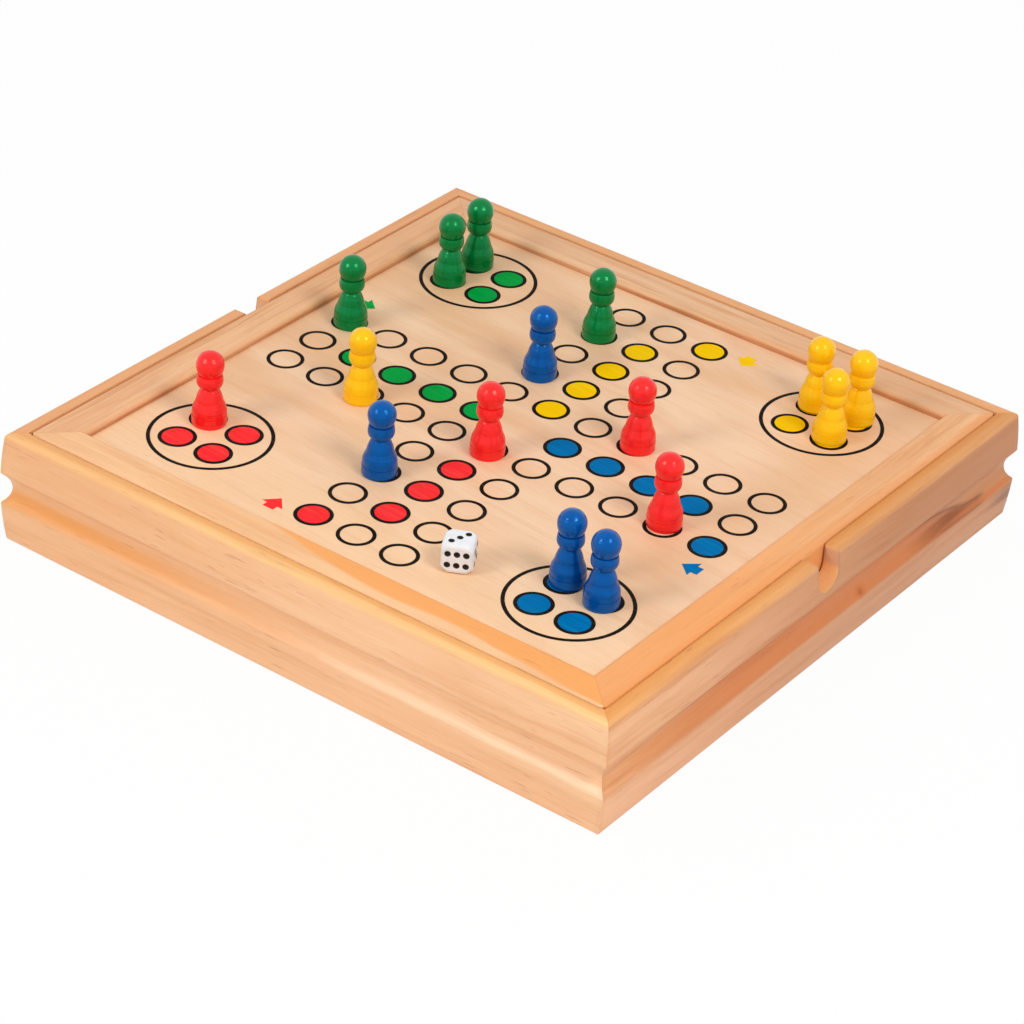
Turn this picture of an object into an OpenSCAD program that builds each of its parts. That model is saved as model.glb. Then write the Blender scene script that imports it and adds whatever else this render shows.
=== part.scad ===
// Square wooden game box with a lift-out ludo board, sixteen turned pawns and a die.
// The box stands on its wall bottoms, centred on the origin, with its front at -Y.

/* [Box] */
// Overall width and depth of the box, across its bulged walls as they are before the groove is cut
box_w = 280; // [276:1:340]
// Height of the walls
box_h = 47.5; // [44:0.5:60]
// Thickness of the wall moulding at its widest line
wall_t = 15; // [13.5:0.5:18]
// How far the middle of a wall face stands past its top and bottom edges
wall_bulge = 1.6; // [0.8:0.1:2.4]
// Rounding of the outer top and bottom edges of the walls
wall_edge_r = 2; // [0.8:0.1:2.6]
// Height of the half-round groove that runs round the box
groove_w = 12.8; // [8:0.2:15]
// Depth of that groove
groove_d = 3.3; // [2:0.1:4.4]
// Rounding of the two lips of the groove
groove_lip_r = 1.2; // [0.4:0.1:1.6]
// Thickness of the wall's upper lip, beside the board
lip_t = 7.6; // [6.5:0.1:9]

/* [Bottom panel] */
// Thickness of the bottom panel
bottom_t = 4; // [3:0.5:6]
// Height of the bottom panel's underside above the table
bottom_lift = 4; // [3:0.5:6]
// How deep the bottom panel sits in the walls
bottom_in = 5; // [3:0.5:6]

/* [Finger notches] */
// Width of the notch in the middle of the left and right walls
notch_w = 14; // [12:0.5:24]
// Depth of the notch below the top of the wall
notch_depth = 14.5; // [13:0.5:15]
// Rounding of the notch's two top corners
notch_corner_r = 1.4; // [0.5:0.1:2.5]

/* [Board] */
// Width of the board frame's rails
rail_w = 14.5; // [12:0.5:15]
// Thickness of the board frame's rails
rail_t = 12; // [10:0.5:13]
// Gap between the board frame and the walls
board_gap = 0.6; // [0.2:0.1:0.8]
// Rounding of the rails' upper inner edge
rail_inner_r = 1.8; // [0.8:0.1:2.6]
// Rounding of the rails' upper outer edge
rail_outer_r = 0.9; // [0.4:0.1:1.6]
// Rounding of the frame's four corners, seen from above
frame_corner_r = 2.2; // [1:0.1:4]
// Thickness of the playing panel
panel_t = 4; // [3:0.5:5]
// How far the playing surface lies below the top of the frame
panel_drop = 3.3; // [2.6:0.1:4]
// How deep the panel sits in the rails
panel_in = 6; // [4:0.5:8]
// Room for the panels to move in their grooves
panel_play = 0.5; // [0.3:0.1:1]

/* [Pattern] */
// Distance from the middle of the outermost fields to the board frame
field_edge = 17.3; // [12:0.1:25]
// Diameter of a field's ring, to the middle of its line
ring_d = 13.4; // [11:0.1:16]
// Diameter of a home base's large circle, to the middle of its line
base_ring_d = 47.2; // [44:0.1:52]
// Distance from a home base's large circle to the board frame
base_edge = 10.1; // [6:0.1:12]
// Distance between the fields inside a home base
base_step = 17.8; // [16:0.1:19]
// Width of the black lines
line_w = 1.5; // [0.8:0.1:2]
// Thickness of the printed film
film_t = 0.1; // [0.08:0.01:0.2]
// Gap between a coloured disc and the black line round it
film_gap = 0.02; // [0.01:0.01:0.05]
// Length of the start arrows
arrow_l = 8; // [6:0.2:11]
// Width of the start arrows
arrow_w = 9.6; // [6:0.2:11]
// Length of an arrow's tail
arrow_tail_l = 2.6; // [1.5:0.1:4]
// Width of an arrow's tail
arrow_tail_w = 4.8; // [3:0.1:6]
// Distance from an arrow's middle to the board frame
arrow_edge = 13.9; // [8:0.1:18]
// Distance of an arrow beside its start field, from middle to middle
arrow_side = 15.6; // [13:0.1:18]
// How far the pattern lies off the middle of the panel, sideways
print_x = -1; // [-2:0.1:2]
// How far the pattern lies off the middle of the panel, front to back
print_y = -0.2; // [-2:0.1:2]

/* [Pawns] */
// Height of a pawn
pawn_h = 30.7; // [29:0.1:34]
// Diameter of a pawn's foot
foot_d = 13.6; // [12:0.1:15]
// Height of the foot, up to its scored line
foot_h = 4; // [3:0.1:4.4]
// Rounding of the foot's lower edge
foot_edge_r = 0.8; // [0.4:0.1:1.2]
// Depth of the scored line
score_d = 0.25; // [0.1:0.05:0.4]
// Height up to which the skirt above the foot stays upright
skirt_z = 5.2; // [4.9:0.1:5.8]
// Height of the shoulder, where the skirt's curve ends
shoulder_z = 9.2; // [8.6:0.1:9.8]
// Diameter of the body at the shoulder
shoulder_d = 10.9; // [10:0.1:11.6]
// How far above and below the shoulder its corner is eased off
ease_h = 0.8; // [0.4:0.1:1.2]
// Height of the middle of the upper body's curve
body_z = 7.7; // [7:0.1:8.2]
// Height of the neck groove above the foot's underside
neck_z = 15.2; // [14.6:0.1:16]
// Diameter of the neck groove
neck_d = 6.6; // [6:0.1:8]
// Height of the collar's widest line
collar_z = 18.3; // [17.6:0.1:19]
// Diameter of the collar
collar_d = 10.3; // [9.9:0.1:11.2]
// Diameter of the collar's upper edge
collar_top_d = 9.5; // [8.9:0.1:9.8]
// Height of the collar's upper edge, where the head starts
waist_z = 21; // [20.4:0.1:21.6]
// Diameter of the head where it starts
waist_d = 8.4; // [7.8:0.1:8.8]
// Diameter of the head
head_d = 10.9; // [10:0.1:12]
// Size of one step of the small nudges that a hand gave the pawns and the die
nudge_step = 0.2; // [0:0.05:0.3]

/* [Die] */
// Length of the die's edges
die_s = 12; // [10:0.5:16]
// Rounding of the die's edges
die_edge_r = 1.4; // [0.4:0.1:2]
// How far the die's corners are cut back, along its long diagonal
die_corner = 1.9; // [1:0.1:2.2]
// Diameter of a pip
pip_d = 2.4; // [1.6:0.1:2.6]
// Distance of a pip from the middle of its face, across and up
pip_step = 2.7; // [2.4:0.1:3.3]
// Distance between the pips in a row of three
pip_row_step = 3.4; // [3:0.1:3.6]
// Distance of a row of three from the middle of its face
pip_row_up = 2.3; // [1.7:0.1:3]
// Depth of a pip's hollow
pip_depth = 0.6; // [0.3:0.05:0.9]
// Thickness of the paint in a pip
pip_film = 0.1; // [0.05:0.01:0.2]
// Turn of the die about its upright axis, in degrees
die_turn = 28; // [0:1:90]

/* [Hidden] */
$fn = 96;
cut = 1;

half = box_w / 2;
inner_half = half - wall_t;
ledge_half = half - lip_t;
board_half = ledge_half - board_gap;
open_half = board_half - rail_w;
ledge_z = box_h - rail_t;
top_z = box_h - panel_drop;
pitch = (open_half - field_edge) / 5;
base_at = open_half - base_edge - base_ring_d / 2;

// Where a pawn stands: a field of the grid, or a spot in the base of one corner of the
// board, both from the middle of the pattern. Nudges put it where a hand left it.
function on_field(at, nudges) = at * pitch + nudges * nudge_step;
function in_base(corner, spot, nudges) = corner * base_at + spot * base_step / 2 + nudges * nudge_step;

RED_AT = [in_base([-1, -1], [-1, 1], [9, -8]), on_field([0, -1], [5, -12]),
    on_field([2, 1], [5, -2]), on_field([4, -1], [-2, 8])];
BLUE_AT = [on_field([-1, 2], [5, -9]), on_field([-1, -3], [-2, -5]),
    in_base([1, -1], [-1, 1], [4, 6]), in_base([1, -1], [1, 1], [0, -9])];
GREEN_AT = [on_field([-1, 4], [1, -4]), on_field([-5, 1], [5, -4]),
    in_base([-1, 1], [-1, 1], [5, 3]), in_base([-1, 1], [-1, -1], [4, -1])];
YELLOW_AT = [on_field([-3, -1], [2, -17]), in_base([1, 1], [-1, 1], [0, 1]),
    in_base([1, 1], [1, 1], [0, 13]), in_base([1, 1], [1, -1], [-3, 5])];
DIE_AT = on_field([2, -5], [0, 44]);

// Radius of the wall's bulged face, and the distance of its middle from the box's middle
bulge_r = (pow(box_h / 2, 2) + pow(wall_bulge, 2)) / (2 * wall_bulge);
bulge_u = half - bulge_r;
// Radius of the half-round groove, and the distance of its middle from the box's middle
groove_r = (pow(groove_w / 2, 2) + pow(groove_d, 2)) / (2 * groove_d);
groove_u = half - groove_d + groove_r;

// What a rounded corner takes off: the corner is at the origin, with the solid at +x +y
module corner_waste(r) {
    difference() {
        translate([-cut, -cut]) square(r + cut);
        translate([r, r]) circle(r);
    }
}

// The outer face of the wall: one bulged arc that turns into rounded top and bottom edges.
// x is the distance from the middle of the box, y is the height.
module bulged_face() {
    mid_z = box_h / 2;
    reach = bulge_r - wall_edge_r;
    edge_z = mid_z - wall_edge_r;
    edge_u = bulge_u + sqrt(pow(reach, 2) - pow(edge_z, 2));
    tangent_z = edge_z * bulge_r / reach;
    translate([inner_half, 0]) square([edge_u - inner_half, box_h]);
    intersection() {
        translate(FACE_MID) circle(bulge_r);
        translate([inner_half, mid_z - tangent_z]) square([wall_t + cut, 2 * tangent_z]);
    }
    for (z = [mid_z - edge_z, mid_z + edge_z]) translate([edge_u, z]) circle(wall_edge_r);
}

// The point that lies ra from a and rb from b, to the left of the line from a to b
function meet(a, ra, b, rb) =
    let (d = norm(b - a))
    let (along = (d * d + ra * ra - rb * rb) / (2 * d))
    let (up = sqrt(ra * ra - along * along))
    a + (along * (b - a) + up * [a[1] - b[1], b[0] - a[0]]) / d;

FACE_MID = [bulge_u, box_h / 2];
GROOVE_MID = [groove_u, box_h / 2];
// Middles of the small circles that turn the bulged face into the groove, above and below it
LIP_MIDS = [
    meet(FACE_MID, bulge_r - groove_lip_r, GROOVE_MID, groove_r + groove_lip_r),
    meet(GROOVE_MID, groove_r + groove_lip_r, FACE_MID, bulge_r - groove_lip_r)];

// The sharp corner that a lip's rounding takes off
module lip_waste(mid) {
    to_face = (mid - FACE_MID) / norm(mid - FACE_MID);
    to_groove = (GROOVE_MID - mid) / norm(GROOVE_MID - mid);
    reach = 3 * groove_lip_r;
    translate(mid) polygon([[0, 0], to_face * reach, (to_face + to_groove) * reach, to_groove * reach]);
}

// Cross-section of the wall moulding
module wall_profile() {
    difference() {
        bulged_face();
        translate(GROOVE_MID) circle(groove_r);
        for (mid = LIP_MIDS) lip_waste(mid);
        translate([inner_half - cut, ledge_z]) square([wall_t - lip_t + cut, rail_t + cut]);
        translate([inner_half - cut, bottom_lift]) square([bottom_in + cut, bottom_t]);
    }
    for (mid = LIP_MIDS) translate(mid) circle(groove_lip_r);
}

// Cross-section of a rail of the board frame
module rail_profile() {
    difference() {
        translate([open_half, ledge_z]) square([rail_w, rail_t]);
        translate([open_half - cut, top_z - panel_t]) square([panel_in + cut, panel_t]);
        translate([open_half, box_h]) mirror([0, 1]) corner_waste(rail_inner_r);
        translate([board_half, box_h]) rotate(180) corner_waste(rail_outer_r);
    }
}

// A length of moulding along the front, mitred at both ends, then turned to its side
module mitred(turn) {
    rotate([0, 0, turn]) intersection() {
        translate([-half, 0, 0]) rotate([90, 0, 90]) linear_extrude(box_w) mirror([1, 0]) children();
        linear_extrude(box_h) polygon([[0, 0], [-half, -half], [half, -half]]);
    }
}

// Outline of the notch that a finger goes through to lift the board, seen from the side
module notch_outline() {
    bottom_r = notch_w / 2;
    translate([0, box_h - notch_depth + bottom_r]) circle(bottom_r);
    translate([-bottom_r, box_h - notch_depth + bottom_r]) square([notch_w, notch_depth]);
    for (side = [0, 1])
        mirror([side, 0]) translate([bottom_r, box_h]) mirror([0, 1]) corner_waste(notch_corner_r);
}

module plain_wall(turn) {
    mitred(turn) wall_profile();
}

module notched_wall(turn) {
    difference() {
        plain_wall(turn);
        rotate([90, 0, turn]) translate([0, 0, inner_half - cut])
            linear_extrude(wall_t + 2 * cut) notch_outline();
    }
}

module rail(turn) {
    intersection() {
        mitred(turn) rail_profile();
        translate([0, 0, ledge_z]) linear_extrude(rail_t) rounded_square(board_half, frame_corner_r);
    }
}

module rounded_square(reach, r) {
    difference() {
        square(2 * reach, center = true);
        for (turn = [0:90:270]) rotate(turn) translate([-reach, -reach]) corner_waste(r);
    }
}

module panel(reach, low, thick) {
    translate([-reach, -reach, low]) cube([2 * reach, 2 * reach, thick]);
}

// Moves to a place on the pattern and up to the playing surface
module on_pattern(at) {
    translate([print_x + at[0], print_y + at[1], top_z]) children();
}

// One arm of the track is ten fields: out along one side and back, to the next arm
ARM = [for (i = [1:5]) [-1, -i], [0, -5], for (i = [5:-1:2]) [1, -i]] * pitch;
HOME = [for (i = [1:4]) [0, -i]] * pitch;
START = [-1, -5] * pitch;
BASE = [-base_at, -base_at];
BASE_SPOTS = [for (x = [-1, 1], y = [-1, 1]) BASE + [x, y] * base_step / 2];

module ring(d) {
    linear_extrude(film_t) difference() {
        circle(d = d + line_w);
        circle(d = d - line_w);
    }
}

module print_lines() {
    color(LINE_TINT) on_pattern([0, 0]) for (turn = [0:90:270]) rotate([0, 0, turn]) {
        for (at = concat(ARM, HOME, BASE_SPOTS)) translate(at) ring(ring_d);
        translate(BASE) ring(base_ring_d);
    }
}

// A short block arrow that points along +y
module arrow() {
    head = [[-arrow_w / 2, 0], [arrow_w / 2, 0], [0, arrow_l - arrow_tail_l]];
    translate([0, arrow_tail_l - arrow_l / 2]) {
        polygon(head);
        translate([-arrow_tail_w / 2, -arrow_tail_l]) square([arrow_tail_w, arrow_tail_l + film_gap]);
    }
}

// The coloured fields of one side: four home fields, the start field, the base and the arrow.
// They are drawn for the front and turned to their side.
module print_fields(turn) {
    on_pattern([0, 0]) rotate([0, 0, turn]) linear_extrude(film_t) {
        for (at = concat(HOME, [START], BASE_SPOTS))
            translate(at) circle(d = ring_d - line_w - 2 * film_gap);
        translate([START[0] - arrow_side, arrow_edge - open_half]) arrow();
    }
}

// Radius of the arc that is upright at its widest point and as narrow as asked h away from it
function arc_r(widest, narrow, h) = (pow(widest - narrow, 2) + h * h) / (2 * (widest - narrow));

// Half width of such an arc at height z. Its widest point is at height mid, and it is as
// narrow as asked at height tip.
function arc_at(widest, narrow, mid, tip, z) =
    let (r = arc_r(widest, narrow, tip - mid))
    widest - r + sqrt(r * r - pow(z - mid, 2));

// One bead of the turned outline: such an arc, kept between the heights low and high
module bead(widest, narrow, mid, tip, low, high) {
    r = arc_r(widest, narrow, tip - mid);
    intersection() {
        translate([widest - r, mid]) circle(r);
        translate([0, low]) square([widest + cut, high - low]);
    }
}

// The pawn's body: a rounded skirt and a slimmer upper part, with the corner between eased off
// by a slope. The slope's ends lie inside the two curves.
module body_profile(skirt_r) {
    shoulder_r = shoulder_d / 2;
    neck_r = neck_d / 2;
    low_z = shoulder_z - ease_h;
    high_z = shoulder_z + ease_h;
    low = [arc_at(skirt_r, shoulder_r, skirt_z, shoulder_z, low_z), low_z];
    high = [arc_at(shoulder_r, neck_r, body_z, neck_z, high_z), high_z];
    end = (high - low) / 2;
    bead(skirt_r, shoulder_r, skirt_z, shoulder_z, skirt_z, shoulder_z);
    bead(shoulder_r, neck_r, body_z, neck_z, shoulder_z, neck_z);
    polygon([[0, low[1] - end[1]], low - end, high + end, [0, high[1] + end[1]]]);
}

// Half of the pawn's outline: x is the distance from its axis, y is the height
module pawn_profile() {
    head_z = pawn_h - head_d / 2;
    score_z = foot_h + score_d;
    skirt_r = foot_d / 2 - score_d / 2;
    difference() {
        square([foot_d / 2, foot_h]);
        translate([foot_d / 2, 0]) mirror([1, 0]) corner_waste(foot_edge_r);
    }
    square([foot_d / 2 - score_d, score_z]);
    translate([0, score_z]) square([skirt_r, skirt_z - score_z]);
    body_profile(skirt_r);
    bead(collar_d / 2, neck_d / 2, collar_z, neck_z, neck_z, collar_z);
    bead(collar_d / 2, collar_top_d / 2, collar_z, waist_z, collar_z, waist_z);
    square([neck_d / 4, head_z]);
    bead(head_d / 2, waist_d / 2, head_z, waist_z, waist_z, head_z);
    intersection() {
        translate([0, head_z]) circle(d = head_d);
        translate([0, head_z]) square(head_d);
    }
}

module pawn(at, tint) {
    color(tint) on_pattern(at) translate([0, 0, film_t]) rotate_extrude() pawn_profile();
}

// Where the pips of each number lie, from the middle of the face
MIDDLE_PIP = [[0, 0]];
TWO_PIPS = [[-1, -1], [1, 1]] * pip_step;
FOUR_PIPS = [for (x = [-1, 1], y = [-1, 1]) [x, y]] * pip_step;
PIPS = [MIDDLE_PIP, TWO_PIPS, concat(TWO_PIPS, MIDDLE_PIP), FOUR_PIPS, concat(FOUR_PIPS, MIDDLE_PIP),
    [for (x = [-1:1], y = [-1, 1]) [x * pip_row_step, y * pip_row_up]]];
// Number on each face and the turn that brings the top face to it
FACES = [[3, [0, 0, 0]], [4, [180, 0, 0]], [6, [90, 0, 0]], [1, [-90, 0, 0]],
    [5, [90, 0, 90]], [2, [90, 0, -90]]];

module die_place() {
    on_pattern(DIE_AT) translate([0, 0, film_t + die_s / 2]) rotate([0, 0, die_turn]) children();
}

// Radius of the ball that hollows out a pip
pip_r = (pow(pip_d / 2, 2) + pow(pip_depth, 2)) / (2 * pip_depth);

module each_pip() {
    for (face = FACES) rotate(face[1]) for (at = PIPS[face[0] - 1])
        translate([at[0], at[1], die_s / 2 - pip_depth + pip_r]) children();
}

// The die's cross-section with rounded edges, through its whole height
module die_bar() {
    linear_extrude(die_s, center = true) rounded_square(die_s / 2, die_edge_r);
}

module die() {
    color(DIE_TINT) die_place() difference() {
        intersection() {
            die_bar();
            rotate([90, 0, 0]) die_bar();
            rotate([0, 90, 0]) die_bar();
            sphere(sqrt(3) * die_s / 2 - die_corner);
        }
        each_pip() sphere(pip_r);
    }
}

module die_pips() {
    color(PIP_TINT) die_place() intersection() {
        cube(die_s, center = true);
        each_pip() difference() {
            sphere(pip_r);
            sphere(pip_r - pip_film);
        }
    }
}

WALL_TINT = [0.93, 0.71, 0.52];
RAIL_TINT = [0.96, 0.76, 0.56];
PANEL_TINT = [0.94, 0.82, 0.67];
RED = [0.95, 0.15, 0.15];
BLUE = [0.05, 0.33, 0.62];
GREEN = [0.05, 0.48, 0.24];
YELLOW = [0.98, 0.76, 0.05];
LINE_TINT = [0.16, 0.13, 0.12];
DIE_TINT = [0.97, 0.97, 0.97];
PIP_TINT = [0.1, 0.1, 0.1];

module front_wall() { color(WALL_TINT) plain_wall(0); }
module right_wall() { color(WALL_TINT) notched_wall(90); }
module back_wall() { color(WALL_TINT) plain_wall(180); }
module left_wall() { color(WALL_TINT) notched_wall(270); }
module bottom_panel() {
    color(PANEL_TINT) panel(inner_half + bottom_in - panel_play, bottom_lift, bottom_t);
}
module front_rail() { color(RAIL_TINT) rail(0); }
module right_rail() { color(RAIL_TINT) rail(90); }
module back_rail() { color(RAIL_TINT) rail(180); }
module left_rail() { color(RAIL_TINT) rail(270); }
module playing_panel() {
    color(PANEL_TINT) panel(open_half + panel_in - panel_play, top_z - panel_t, panel_t);
}
module print_red() { color(RED) print_fields(0); }
module print_blue() { color(BLUE) print_fields(90); }
module print_green() { color(GREEN) print_fields(270); }
module print_yellow() { color(YELLOW) print_fields(180); }

front_wall();
back_wall();
left_wall();
right_wall();
bottom_panel();
front_rail();
back_rail();
left_rail();
right_rail();
playing_panel();
print_lines();
print_red();
print_blue();
print_green();
print_yellow();
for (i = [1:4]) {
    pawn(RED_AT[i - 1], RED);
    pawn(BLUE_AT[i - 1], BLUE);
    pawn(GREEN_AT[i - 1], GREEN);
    pawn(YELLOW_AT[i - 1], YELLOW);
}
die();
die_pips();
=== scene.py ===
import math

import bpy
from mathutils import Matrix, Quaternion, Vector

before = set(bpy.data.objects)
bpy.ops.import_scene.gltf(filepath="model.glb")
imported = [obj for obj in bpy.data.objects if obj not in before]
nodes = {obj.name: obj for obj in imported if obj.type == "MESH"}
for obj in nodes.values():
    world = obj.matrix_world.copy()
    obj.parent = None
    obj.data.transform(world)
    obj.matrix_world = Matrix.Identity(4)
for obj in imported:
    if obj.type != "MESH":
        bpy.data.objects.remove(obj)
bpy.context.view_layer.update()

# All lengths are in metres, from the middle of the box's base

# Where the photograph was taken from
EYE = Vector((0.6503, -0.9531, 0.7382))
LOOKS_AT = Vector((0.0318, -0.0495, 0.0442))
CAMERA_LEAN = math.radians(4.32)
CAMERA_LENS = 123.83

# The studio: even light from all round, two square lamps and a white floor that glows a little
FILL_LIGHT = 0.59
LAMP_SIZE = 0.46
LAMP_TINT = (1.0, 0.985, 0.96)
BOARD_MIDDLE = Vector((0, 0, 0.044))
FLOOR_WHITE = 0.9
FLOOR_GLOW = 0.25
FLOOR_GLOW_SEEN = 0.7

# Heights in a wall: where its side turns into the rounded edge, and the lower lip of its groove
SIDE_END = 0.0445
GROOVE_LIP = (0.0158, 0.0178)

# The finger notch in the right wall: the middle and the radius of its round end
NOTCH_CENTRE = 0.04
NOTCH_RADIUS = 0.007

# How wide the worn edges look
WALL_EDGE = 0.0018
RAIL_EDGE = 0.0008
DIE_EDGE = 0.0011

# The veneer's grain lies at a slight angle to the board, in radians
VENEER_TILT = 0.09

PAWN_COLOURS = ("red", "blue", "green", "yellow")

# First of the two inputs, and the output, of a mix node
MIX_SOCKETS = {"RGBA": (6, 2), "VECTOR": (4, 1)}


def paint(red, green, blue):
    """A colour given as it shows on a screen, 0 to 255."""
    shares = [c / 255 for c in (red, green, blue)]
    return [s / 12.92 if s <= 0.04045 else ((s + 0.055) / 1.055) ** 2.4 for s in shares] + [1]


class Finish:
    """A surface finish: one material, and short ways to add its nodes."""

    def __init__(self, name, roughness, shine, sheen_tone=None):
        self.material = bpy.data.materials.new(name)
        self.material.use_nodes = True
        self.tree = self.material.node_tree
        self.shader = self.tree.nodes["Principled BSDF"]
        self.shader.inputs["Roughness"].default_value = roughness
        self.shader.inputs["Specular IOR Level"].default_value = shine
        if sheen_tone:
            self.shader.inputs["Specular Tint"].default_value = sheen_tone

    def add(self, kind, settings=(), **inputs):
        made = self.tree.nodes.new("ShaderNode" + kind)
        for key, value in dict(settings).items():
            setattr(made, key, value)
        for key, value in inputs.items():
            self.feed(made.inputs[key], value)
        return made

    def feed(self, socket, value):
        if isinstance(value, bpy.types.NodeSocket):
            self.tree.links.new(value, socket)
        else:
            socket.default_value = value

    def feed_all(self, sockets, values):
        for socket, value in zip(sockets, values):
            self.feed(socket, value)

    def maths(self, what, *values):
        made = self.add("Math", {"operation": what})
        self.feed_all(made.inputs, values)
        return made.outputs[0]

    def both(self, one, other):
        return self.maths("MULTIPLY", one, other)

    def away(self, value):
        """How far a value is from 0, on either side."""
        return self.maths("ABSOLUTE", value)

    def sway(self, value, reach):
        """A value from 0 to 1 as a shift from minus the reach to the reach."""
        return self.maths("MULTIPLY_ADD", value, 2 * reach, -reach)

    def place(self, turned=False, tilt=0.0):
        """Where a point lies on the set, in metres, with the grain along x."""
        place = self.add("TexCoord").outputs["Object"]
        if turned or tilt:
            mapping = self.add("Mapping", Vector=place)
            mapping.inputs["Rotation"].default_value = (0, 0, tilt - (math.pi / 2 if turned else 0))
            place = mapping.outputs[0]
        return place

    def parts(self, place):
        made = self.add("SeparateXYZ", Vector=place)
        return made.outputs[0], made.outputs[1], made.outputs[2]

    def off_mitre(self, x, y):
        """How far a point is from the corner's mitre, which runs where x and y are equally large."""
        return self.maths("SUBTRACT", self.away(x), self.away(y))

    def shifted(self, place, amount):
        """The place moved sideways and up by an amount, so that the grain wanders."""
        step = self.add("CombineXYZ", Y=amount, Z=amount)
        moved = self.add("VectorMath", {"operation": "ADD"})
        self.feed_all(moved.inputs, (place, step.outputs[0]))
        return moved.outputs[0]

    def spread(self, place, along, across, deep, shift):
        """The place stretched for a pattern: cells per metre along x, y and z, and a shift that
        makes each pattern differ."""
        mapping = self.add("Mapping", Vector=place)
        mapping.inputs["Scale"].default_value = (along, across, deep)
        mapping.inputs["Location"].default_value = (shift, shift * 0.7, shift * 1.3)
        return mapping.outputs[0]

    def clouds(self, place, detail, rough=0.5):
        made = self.add("TexNoise", Vector=place, Scale=1.0, Detail=detail, Roughness=rough)
        return made.outputs[0]

    def between(self, value, low, high, out_low=0.0, out_high=1.0):
        """An even ramp from one output to the other, while the value goes from low to high."""
        made = self.add("MapRange", {"interpolation_type": "SMOOTHSTEP"})
        self.feed_all(made.inputs, (value, low, high, out_low, out_high))
        return made.outputs[0]

    def stripe(self, value, middle, width):
        """1 on a soft line where the value is at its middle, 0 away from it."""
        off = self.away(self.maths("SUBTRACT", value, middle))
        return self.between(off, width, 0.0)

    def mix(self, kind, share, one, other):
        made = self.add("Mix", {"data_type": kind})
        first, out = MIX_SOCKETS[kind]
        self.feed_all((made.inputs[0], made.inputs[first], made.inputs[first + 1]), (share, one, other))
        return made.outputs[out]

    def blend(self, share, one, other):
        """The first colour, with a share of the other over it."""
        return self.mix("RGBA", share, one, other)

    def soft_edges(self, radius):
        made = self.add("Bevel", {"samples": 4}, Radius=radius)
        return made.outputs[0]

    def mitred_edges(self, radius):
        """Soft edges, but the mitred ends stay closed and the upright corners round over."""
        x, y, z = self.parts(self.place())
        near = self.between(self.away(self.off_mitre(x, y)), 0.0024, 0.0012)
        outward = self.add("VectorMath", {"operation": "NORMALIZE"})
        self.feed(outward.inputs[0], self.add("CombineXYZ", X=x, Y=y).outputs[0])
        flat = self.add("NewGeometry").outputs["Normal"]
        upright = self.both(self.between(z, SIDE_END, 0.043), 0.3)
        corner = self.mix("VECTOR", upright, flat, outward.outputs[0])
        return self.mix("VECTOR", near, self.soft_edges(radius), corner)

    def bump(self, height, depth, normal=None):
        made = self.add("Bump", Height=height, Distance=depth)
        if normal:
            self.feed(made.inputs["Normal"], normal)
        self.feed(self.shader.inputs["Normal"], made.outputs[0])

    def colour(self, value):
        self.feed(self.shader.inputs["Base Color"], value)

    def roughness(self, value):
        self.feed(self.shader.inputs["Roughness"], value)


def mitre_line(finish, place, colour):
    """The thin glue line on the top, where two lengths meet at a corner."""
    x, y, z = finish.parts(place)
    glue = finish.stripe(finish.off_mitre(x, y), 0.0, 0.0003)
    line = finish.both(glue, finish.between(z, 0.045, 0.0468, 0, 0.28))
    return finish.blend(line, colour, paint(150, 96, 56))


def softwood(name, pale, dark, seed, turned=False, top=None, marks=None, streak=1.0, dash=1.0,
             soft_edge=WALL_EDGE):
    """Lacquered softwood: drifting tone, wandering growth lines, fibres and short brown pores."""
    finish = Finish(name, roughness=0.4, shine=0.28)
    straight = finish.place(turned)
    x, y, z = finish.parts(straight)
    wander = finish.clouds(finish.spread(straight, 9, 22, 22, seed + 31), 2)
    place = finish.shifted(straight, finish.sway(wander, 0.0045))
    drift = finish.clouds(finish.spread(place, 9, 42, 60, seed), 3)
    patches = finish.clouds(finish.spread(place, 8, 60, 60, seed + 17), 2)
    waver = finish.clouds(finish.spread(place, 9, 300, 300, seed + 3), 4, 0.65)
    broad = finish.clouds(finish.spread(place, 5, 110, 110, seed + 5), 3, 0.55)
    silk = finish.clouds(finish.spread(place, 16, 210, 210, seed + 23), 3, 0.6)
    fibres = finish.clouds(finish.spread(place, 60, 1400, 1400, seed + 7), 2, 0.6)
    dashes = finish.clouds(finish.spread(place, 90, 1500, 1500, seed + 11), 1, 0.35)
    colour = finish.blend(finish.between(drift, 0.3, 0.7), pale, dark)
    # The flat top takes its own colour: partly the wood's tone, partly painted warm light on the upward
    # face.
    if top:
        colour = finish.blend(finish.between(z, SIDE_END, 0.0471), colour, top)
    band = finish.between(broad, 0.47, 0.74, 0, 0.34 * streak)
    colour = finish.blend(band, colour, paint(226, 150, 84))
    satin = finish.between(silk, 0.42, 0.7, 0, 0.26 * streak)
    colour = finish.blend(satin, colour, paint(216, 144, 88))
    line = finish.both(finish.between(waver, 0.48, 0.72), finish.between(patches, 0.36, 0.62))
    colour = finish.blend(finish.both(line, 0.42 * streak), colour, paint(200, 124, 66))
    if marks:
        colour = marks(finish, (x, y, z), waver, colour)
    fibre = finish.between(fibres, 0.35, 0.78, 0, 0.14)
    colour = finish.blend(fibre, colour, paint(208, 140, 92))
    pore = finish.both(finish.between(dashes, 0.68, 0.78), finish.between(patches, 0.34, 0.6, 0.2, 1))
    colour = finish.blend(finish.both(pore, 0.42 * dash), colour, paint(176, 102, 56))
    finish.colour(mitre_line(finish, straight, colour))
    finish.roughness(finish.between(waver, 0.3, 0.75, 0.36, 0.5))
    height = finish.maths("ADD", finish.both(fibres, -0.6), finish.both(pore, -1.0))
    finish.bump(height, 0.00006, finish.mitred_edges(soft_edge))
    return finish.material


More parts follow.
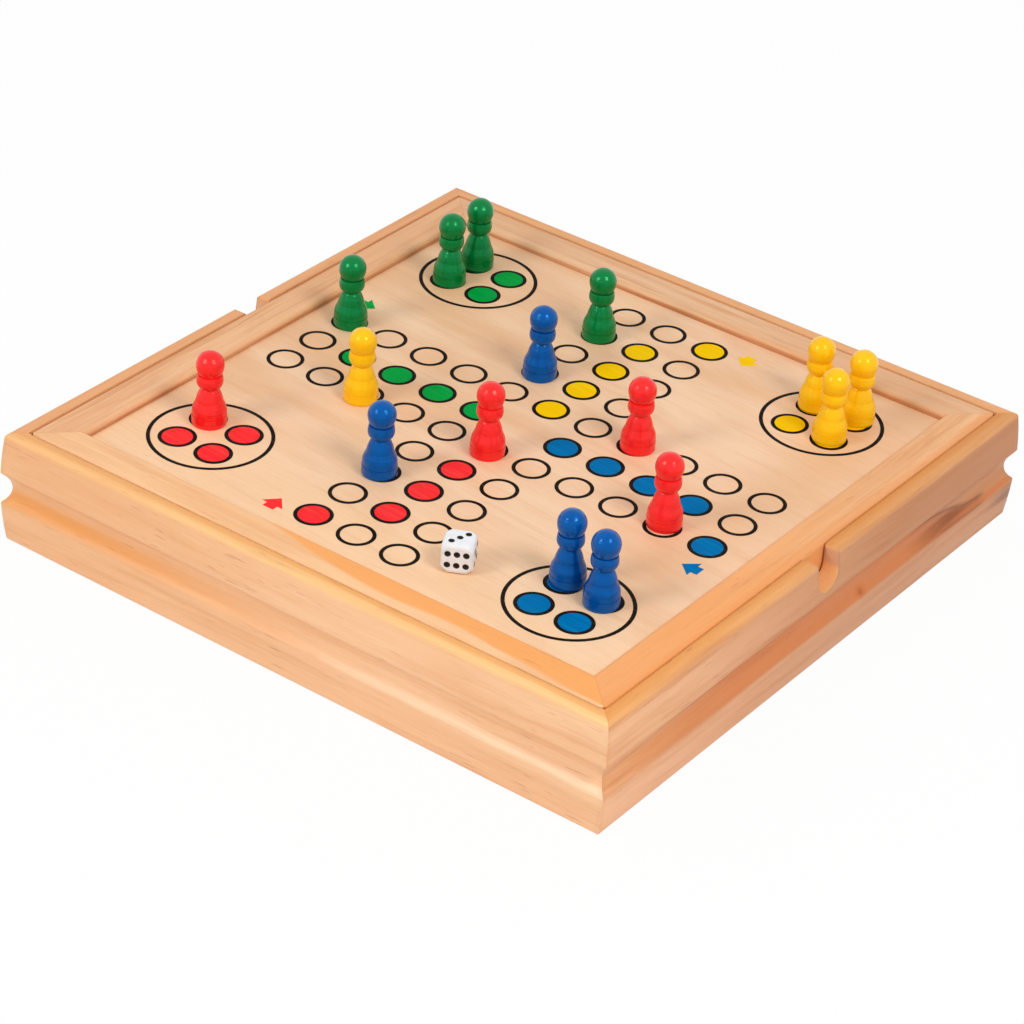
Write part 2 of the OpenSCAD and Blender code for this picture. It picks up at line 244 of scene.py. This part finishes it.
def heart_wedge(finish, place, waver, colour):
    """Orange heartwood in the front rail: a wavy wedge that widens to the right."""
    x, y, _ = place
    steep = finish.between(x, -0.062, 0.034, -0.1152, -0.1284)
    rise = finish.both(finish.stripe(x, 0.064, 0.026), 0.0016)
    tail = finish.between(x, 0.07, 0.13, 0, -0.0028)
    border = finish.maths("ADD", finish.maths("ADD", steep, rise), tail)
    past = finish.maths("ADD", finish.maths("SUBTRACT", y, border), finish.sway(waver, 0.0015))
    heart = finish.both(finish.between(past, -0.0004, 0.0016), finish.between(x, -0.06, -0.02, 0.4, 0.85))
    return finish.blend(heart, colour, paint(250, 166, 84))


def heart_front(finish, place, waver, colour):
    """Orange heartwood in the front half of the right rail, and along its outer edge."""
    x, y, _ = place
    reach = finish.maths("ADD", x, finish.sway(waver, 0.06))
    heart = finish.between(reach, 0.06, -0.06, 0, 0.7)
    colour = finish.blend(heart, colour, paint(248, 164, 90))
    outer = finish.maths("ADD", finish.away(y), finish.sway(waver, 0.004))
    return finish.blend(finish.between(outer, 0.126, 0.131, 0, 0.5), colour, paint(238, 148, 72))


def shaded_inner_face(finish, place, waver, colour):
    """Painted shade low on the rail's inner face: a dark line, stronger and weaker along the rail."""
    _, y, z = place
    low = finish.between(z, 0.0464, 0.0452)
    inner = finish.between(finish.away(y), 0.1196, 0.1182)
    share = finish.both(finish.both(low, inner), finish.between(waver, 0.3, 0.6, 0.3, 0.7))
    return finish.blend(share, colour, paint(186, 112, 60))


def golden_lit_top(finish, place, waver, colour, share=0.6):
    """Golden and orange streaks along the flat top of a wall, partly the wood's tone and partly painted
    warm light on the upward face.
    """
    _, y, z = place
    near = finish.maths("ADD", finish.away(y), finish.sway(waver, 0.004))
    streak = finish.both(finish.between(near, 0.1376, 0.1338), finish.between(z, 0.0458, 0.0472))
    return finish.blend(finish.both(streak, share), colour, paint(236, 152, 60))


def front_wall_marks(finish, place, waver, colour):
    """An orange band low in the groove of the front wall, which turns into a pale one on the right: a
    painted highlight along the groove's lower lip.
    """
    x, _, z = place
    # Golden top, partly painted warm light.
    colour = golden_lit_top(finish, place, waver, colour)
    colour = finish.blend(finish.between(x, -0.13, 0.06, 0.36, 0.0), colour, paint(226, 156, 96))
    height = finish.maths("ADD", z, finish.sway(waver, 0.0035))
    left = finish.between(x, 0.02, -0.11, 0.0, 0.75)
    orange = finish.both(finish.stripe(height, 0.0205, 0.0055), left)
    colour = finish.blend(orange, colour, paint(236, 154, 70))
    # Painted highlight: a pale band along the groove's lower lip, on the right.
    right = finish.between(x, 0.0, 0.05, 0.0, 0.6)
    pale = finish.both(finish.stripe(height, 0.0186, 0.0028), right)
    return finish.blend(pale, colour, paint(255, 224, 190))


def right_wall_marks(finish, place, waver, colour):
    """The right wall darkens to the back, and its groove is orange. Here x runs along the wall."""
    x, _, z = place
    # Golden top, partly painted warm light, stronger towards the back.
    colour = golden_lit_top(finish, place, waver, colour, finish.between(x, -0.1, 0.05, 0.5, 0.95))
    # Darker towards the back; a little less near the bottom, and about half as much on the top.
    darker_to_back = finish.both(finish.between(x, -0.15, 0.07, 0.08, 0.8), finish.between(z, 0.014, 0.032, 0.8, 1))
    darker_to_back = finish.both(darker_to_back, finish.between(z, 0.0465, SIDE_END, 0.45, 1))
    colour = finish.blend(darker_to_back, colour, paint(178, 112, 66))
    wavy = finish.sway(waver, 0.0015)
    colour = arch(finish, x, z, waver, wavy, colour)
    colour = stain(finish, x, z, waver, colour)
    colour = knot(finish, x, z, wavy, colour)
    return notch_cut(finish, x, z, colour)


def arch(finish, x, z, waver, wavy, colour):
    """Orange wood under a dark line, which bends down to a pointed brown tip. The dark line is partly a
    growth line and partly painted shade under the groove's upper lip.
    """
    crown = finish.between(x, -0.14, -0.04, 0.0242, 0.0285)
    roof = finish.maths("SUBTRACT", crown, finish.between(x, 0.062, 0.118, 0, 0.0085))
    under = finish.maths("SUBTRACT", roof, finish.maths("ADD", z, wavy))
    inside = finish.both(finish.between(under, 0.0, 0.0022), finish.between(z, *GROOVE_LIP))
    orange = finish.both(inside, finish.between(x, -0.14, -0.05, 0.05, 0.74))
    colour = finish.blend(orange, colour, paint(210, 122, 64))
    core = finish.both(finish.between(x, 0.056, 0.096), finish.between(waver, 0.35, 0.6, 0.25, 0.9))
    brown = finish.both(core, finish.both(inside, finish.between(x, 0.121, 0.112)))
    colour = finish.blend(brown, colour, paint(140, 74, 38))
    # The dark line: partly a growth line, partly painted shade under the groove's upper lip.
    line = finish.both(finish.stripe(under, 0.0006, 0.0015), finish.between(x, -0.12, 0.07, 0.2, 0.8))
    line = finish.both(line, finish.between(x, 0.122, 0.114))
    return finish.blend(line, colour, paint(134, 78, 48))


def stain(finish, x, z, waver, colour):
    """A grey stain at the wall's back end, under the groove."""
    grey = finish.both(finish.between(x, 0.118, 0.136), finish.stripe(z, 0.0115, 0.0065))
    grey = finish.both(grey, finish.between(waver, 0.35, 0.6, 0.15, 0.6))
    return finish.blend(grey, colour, paint(112, 92, 88))


def knot(finish, x, z, wavy, colour):
    """A small knot in the groove, a little wider than it is high."""
    spot = finish.add("CombineXYZ", X=x, Z=finish.both(z, 1.3))
    distance = finish.add("VectorMath", {"operation": "DISTANCE"})
    finish.feed_all(distance.inputs, (spot.outputs[0], (0.0275, 0, 0.0245)))
    far = finish.maths("ADD", distance.outputs[1], wavy)
    colour = finish.blend(finish.between(far, 0.0046, 0.0018, 0, 0.6), colour, paint(206, 112, 50))
    return finish.blend(finish.between(far, 0.0019, 0.0006, 0, 0.45), colour, paint(150, 78, 38))


def notch_cut(finish, x, z, colour):
    """End grain inside the finger notch, orange at its round end and paler above. The brighter orange of
    the round end, which faces up, is partly painted light.
    """
    drop = finish.maths("MINIMUM", finish.maths("SUBTRACT", z, NOTCH_CENTRE), 0.0)
    span = finish.maths("SQRT", finish.maths("ADD", finish.both(x, x), finish.both(drop, drop)))
    cut = finish.between(span, NOTCH_RADIUS + 0.0003, NOTCH_RADIUS - 0.0001)
    # Partly painted light: the round end, which faces up, is a brighter orange.
    lit_end_grain = finish.blend(finish.between(z, 0.0385, 0.041), paint(255, 194, 130), paint(226, 176, 138))
    return finish.blend(finish.both(cut, 0.85), colour, lit_end_grain)


def veneer(name, pale, dark, seed):
    """Lacquered birch veneer with a faint slanting flame, painted shade to the left and in a strip on the
    right, and painted light along the front edge.
    """
    finish = Finish(name, roughness=0.42, shine=0.22)
    straight = finish.place(tilt=VENEER_TILT)
    x, y, _ = finish.parts(straight)
    wander = finish.clouds(finish.spread(straight, 10, 16, 16, seed + 31), 2)
    place = finish.shifted(straight, finish.sway(wander, 0.007))
    flame = finish.clouds(finish.spread(place, 13, 46, 46, seed), 4, 0.55)
    patches = finish.clouds(finish.spread(place, 6, 14, 14, seed + 2), 2)
    lines = finish.clouds(finish.spread(place, 11, 280, 280, seed + 5), 4, 0.62)
    fibres = finish.clouds(finish.spread(place, 45, 1500, 1500, seed + 9), 2, 0.6)
    flecks = finish.clouds(finish.spread(place, 150, 1300, 1300, seed + 13), 1, 0.4)
    # Painted shade: the flame's tone darkens towards the left.
    tone = finish.maths("ADD", flame, finish.both(x, -0.9))
    colour = finish.blend(finish.between(tone, 0.32, 0.72), pale, dark)
    # Painted light along the front edge.
    colour = finish.blend(finish.between(y, -0.05, -0.11, 0, 0.6), colour, paint(255, 214, 170))
    # Painted shade: a darker strip on the right, from near the middle to the back.
    band = finish.both(finish.stripe(x, 0.096, 0.03), finish.between(y, -0.075, -0.025))
    colour = finish.blend(finish.both(band, 0.8), colour, dark)
    colour = finish.blend(finish.between(patches, 0.5, 0.75, 0, 0.3), colour, paint(238, 188, 140))
    colour = finish.blend(finish.between(lines, 0.48, 0.74, 0, 0.26), colour, paint(216, 164, 118))
    colour = finish.blend(finish.between(fibres, 0.4, 0.8, 0, 0.2), colour, paint(214, 168, 124))
    colour = finish.blend(finish.between(flecks, 0.72, 0.82, 0, 0.3), colour, paint(196, 138, 92))
    finish.colour(colour)
    finish.roughness(finish.between(flame, 0.3, 0.75, 0.38, 0.5))
    finish.bump(finish.both(fibres, -1.0), 0.00003)
    return finish.material


def ink(name, tone, thin):
    """Screen printed ink, a little thinner where the veneer's grain shows through."""
    finish = Finish(name, roughness=0.45, shine=0.015)
    place = finish.place(tilt=VENEER_TILT)
    grain = finish.clouds(finish.spread(place, 40, 700, 700, 2), 3, 0.6)
    dots = finish.clouds(finish.spread(place, 900, 900, 900, 12), 1, 0.5)
    colour = finish.blend(finish.between(grain, 0.42, 0.8), tone, thin)
    finish.colour(finish.blend(finish.between(dots, 0.66, 0.8, 0, 0.35), colour, thin))
    finish.roughness(finish.between(grain, 0.3, 0.8, 0.38, 0.55))
    finish.bump(grain, 0.00002)
    return finish.material


def gloss(name, tone, deep, worn, tint):
    """Dipped gloss paint over turned wood: faint tool rings, runs and small paler rubs."""
    finish = Finish(name, roughness=0.2, shine=0.9, sheen_tone=tint)
    place = finish.place()
    rings = finish.clouds(finish.spread(place, 30, 30, 1100, 4), 3, 0.6)
    runs = finish.clouds(finish.spread(place, 260, 260, 140, 6), 2, 0.5)
    rubs = finish.clouds(finish.spread(place, 700, 700, 900, 9), 2, 0.6)
    colour = finish.blend(finish.between(runs, 0.4, 0.8, 0, 0.4), tone, deep)
    colour = finish.blend(finish.between(rings, 0.52, 0.75, 0, 0.5), colour, deep)
    finish.colour(finish.blend(finish.between(rubs, 0.66, 0.8, 0, 0.35), colour, worn))
    finish.roughness(finish.between(runs, 0.3, 0.75, 0.15, 0.24))
    finish.bump(finish.maths("ADD", rings, finish.both(runs, 1.4)), 0.00016)
    return finish.material


def resin(name, tone, shade, roughness, shine):
    """Cast plastic of the die, or the paint in its pips."""
    finish = Finish(name, roughness=roughness, shine=shine)
    place = finish.place()
    mottle = finish.clouds(finish.spread(place, 300, 300, 300, 8), 2, 0.5)
    scuffs = finish.clouds(finish.spread(place, 1500, 400, 900, 15), 2, 0.6)
    colour = finish.blend(finish.between(mottle, 0.3, 0.8), tone, shade)
    finish.colour(finish.blend(finish.between(scuffs, 0.68, 0.85, 0, 0.3), colour, shade))
    finish.roughness(finish.between(scuffs, 0.4, 0.85, roughness, roughness + 0.2))
    finish.bump(mottle, 0.00004, finish.soft_edges(DIE_EDGE))
    return finish.material


def dress(node, material):
    mesh = nodes[node].data
    mesh.materials.clear()
    mesh.materials.append(material)


def dress_box():
    # Each wall's top colour is partly painted warm light on the upward face.
    dress("front_wall", softwood(
        "front_wall_wood", paint(252, 203, 158), paint(248, 194, 147), 1.0,
        top=paint(255, 206, 142), marks=front_wall_marks, streak=0.6))
    dress("back_wall", softwood(
        "back_wall_wood", paint(240, 188, 144), paint(228, 172, 124), 21.0, top=paint(236, 172, 116)))
    dress("left_wall", softwood(
        "left_wall_wood", paint(242, 192, 148), paint(232, 176, 130), 41.0, turned=True,
        top=paint(236, 170, 116)))
    dress("right_wall", softwood(
        "right_wall_wood", paint(250, 192, 146), paint(242, 180, 132), 61.0, turned=True,
        top=paint(250, 184, 116), marks=right_wall_marks, streak=1.7))
    dress("bottom_panel", veneer("bottom_veneer", paint(240, 204, 160), paint(228, 188, 142), 9.0))


def dress_frame():
    dress("front_rail", softwood(
        "front_rail_wood", paint(252, 202, 152), paint(244, 190, 138), 5.0,
        marks=heart_wedge, dash=0.6, soft_edge=RAIL_EDGE))
    dress("back_rail", softwood(
        "back_rail_wood", paint(236, 190, 148), paint(228, 178, 134), 25.0,
        marks=shaded_inner_face, streak=1.3, dash=0.6, soft_edge=RAIL_EDGE))
    dress("left_rail", softwood(
        "left_rail_wood", paint(242, 190, 144), paint(232, 176, 128), 45.0, turned=True,
        marks=shaded_inner_face, streak=1.3, dash=0.6, soft_edge=RAIL_EDGE))
    dress("right_rail", softwood(
        "right_rail_wood", paint(244, 190, 140), paint(236, 178, 126), 65.0, turned=True,
        marks=heart_front, dash=0.6, soft_edge=RAIL_EDGE))


def dress_panel():
    dress("playing_panel", veneer("panel_veneer", paint(246, 208, 172), paint(234, 186, 144), 3.0))
    dress("print_lines", ink("black_ink", paint(26, 20, 17), paint(52, 42, 36)))
    dress("print_red", ink("red_ink", paint(250, 48, 52), paint(250, 74, 72)))
    dress("print_blue", ink("blue_ink", paint(0, 108, 170), paint(0, 124, 184)))
    dress("print_green", ink("green_ink", paint(0, 154, 60), paint(20, 170, 84)))
    dress("print_yellow", ink("yellow_ink", paint(246, 196, 0), paint(252, 210, 30)))


def dress_pieces():
    paints = {
        "red": gloss("red_gloss", paint(252, 36, 38), paint(234, 22, 28), paint(255, 70, 68),
                     (1, 0.34, 0.3, 1)),
        "blue": gloss("blue_gloss", paint(0, 80, 160), paint(0, 62, 136), paint(10, 98, 178),
                      (0.1, 0.45, 1, 1)),
        "green": gloss("green_gloss", paint(0, 116, 52), paint(0, 94, 42), paint(14, 134, 68),
                       (0.14, 0.9, 0.4, 1)),
        "yellow": gloss("yellow_gloss", paint(255, 198, 10), paint(250, 180, 4), paint(255, 212, 50),
                        (1, 0.8, 0.2, 1)),
    }
    for colour in PAWN_COLOURS:
        for number in range(1, 5):
            dress(f"pawn_{colour}_{number}", paints[colour])
    dress("die", resin("die_white", paint(238, 239, 243), paint(230, 231, 235), 0.24, 0.4))
    dress("die_pips", resin("pip_black", paint(18, 18, 20), paint(30, 28, 28), 0.3, 0.5))


def camera():
    data = bpy.data.cameras.new("camera")
    data.lens = CAMERA_LENS
    data.clip_start, data.clip_end = 0.05, 20
    made = bpy.data.objects.new("camera", data)
    bpy.context.scene.collection.objects.link(made)
    made.location = EYE
    made.rotation_mode = "QUATERNION"
    level = (LOOKS_AT - EYE).to_track_quat("-Z", "Y")
    made.rotation_quaternion = level @ Quaternion((0, 0, 1), CAMERA_LEAN)
    bpy.context.scene.camera = made


def softbox(name, at, watts):
    """A square soft lamp that points at the middle of the board."""
    data = bpy.data.lights.new(name, "AREA")
    data.shape = "SQUARE"
    data.size = LAMP_SIZE
    data.energy = watts
    data.color = LAMP_TINT
    made = bpy.data.objects.new(name, data)
    bpy.context.scene.collection.objects.link(made)
    made.location = at
    made.rotation_mode = "QUATERNION"
    made.rotation_quaternion = (Vector(at) - BOARD_MIDDLE).to_track_quat("Z", "Y")


def seen_directly(tree):
    """1 where the camera sees it, also in a reflection or through glass."""
    path = tree.nodes.new("ShaderNodeLightPath")
    share = path.outputs["Is Camera Ray"]
    for way in ("Is Glossy Ray", "Is Transmission Ray"):
        most = tree.nodes.new("ShaderNodeMath")
        most.operation = "MAXIMUM"
        tree.links.new(share, most.inputs[0])
        tree.links.new(path.outputs[way], most.inputs[1])
        share = most.outputs[0]
    return share


def studio():
    softbox("left_softbox", (-0.454, -1.03, 0.91), 5.5)
    softbox("right_softbox", (0.97, -0.24, 1.144), 7.6)
    world = bpy.data.worlds.new("room")
    bpy.context.scene.world = world
    world.use_nodes = True
    tree = world.node_tree
    fill = tree.nodes["Background"]
    fill.inputs["Color"].default_value = (1, 1, 1, 1)
    fill.inputs["Strength"].default_value = FILL_LIGHT
    white = tree.nodes.new("ShaderNodeBackground")
    white.inputs["Color"].default_value = (1, 1, 1, 1)
    mix = tree.nodes.new("ShaderNodeMixShader")
    tree.links.new(seen_directly(tree), mix.inputs[0])
    tree.links.new(fill.outputs[0], mix.inputs[1])
    tree.links.new(white.outputs[0], mix.inputs[2])
    tree.links.new(mix.outputs[0], tree.nodes["World Output"].inputs["Surface"])


def floor():
    bpy.ops.object.select_all(action="DESELECT")
    bpy.ops.mesh.primitive_plane_add(size=12, location=(0, 0, 0))
    made = bpy.context.object
    made.name = "floor"
    material = bpy.data.materials.new("floor_white")
    material.use_nodes = True
    tree = material.node_tree
    tree.nodes.remove(tree.nodes["Principled BSDF"])
    matt = tree.nodes.new("ShaderNodeBsdfDiffuse")
    matt.inputs["Color"].default_value = (FLOOR_WHITE, FLOOR_WHITE, FLOOR_WHITE, 1)
    glow = tree.nodes.new("ShaderNodeEmission")
    share = tree.nodes.new("ShaderNodeMath")
    share.operation = "MULTIPLY_ADD"
    share.inputs[1].default_value = FLOOR_GLOW_SEEN
    share.inputs[2].default_value = FLOOR_GLOW
    mix = tree.nodes.new("ShaderNodeMixShader")
    tree.links.new(seen_directly(tree), share.inputs[0])
    tree.links.new(share.outputs[0], mix.inputs[0])
    tree.links.new(matt.outputs[0], mix.inputs[1])
    tree.links.new(glow.outputs[0], mix.inputs[2])
    tree.links.new(mix.outputs[0], tree.nodes["Material Output"].inputs["Surface"])
    made.data.materials.append(material)


camera()
studio()
floor()
dress_box()
dress_frame()
dress_panel()
dress_pieces()
bpy.context.scene.view_settings.view_transform = "Standard"
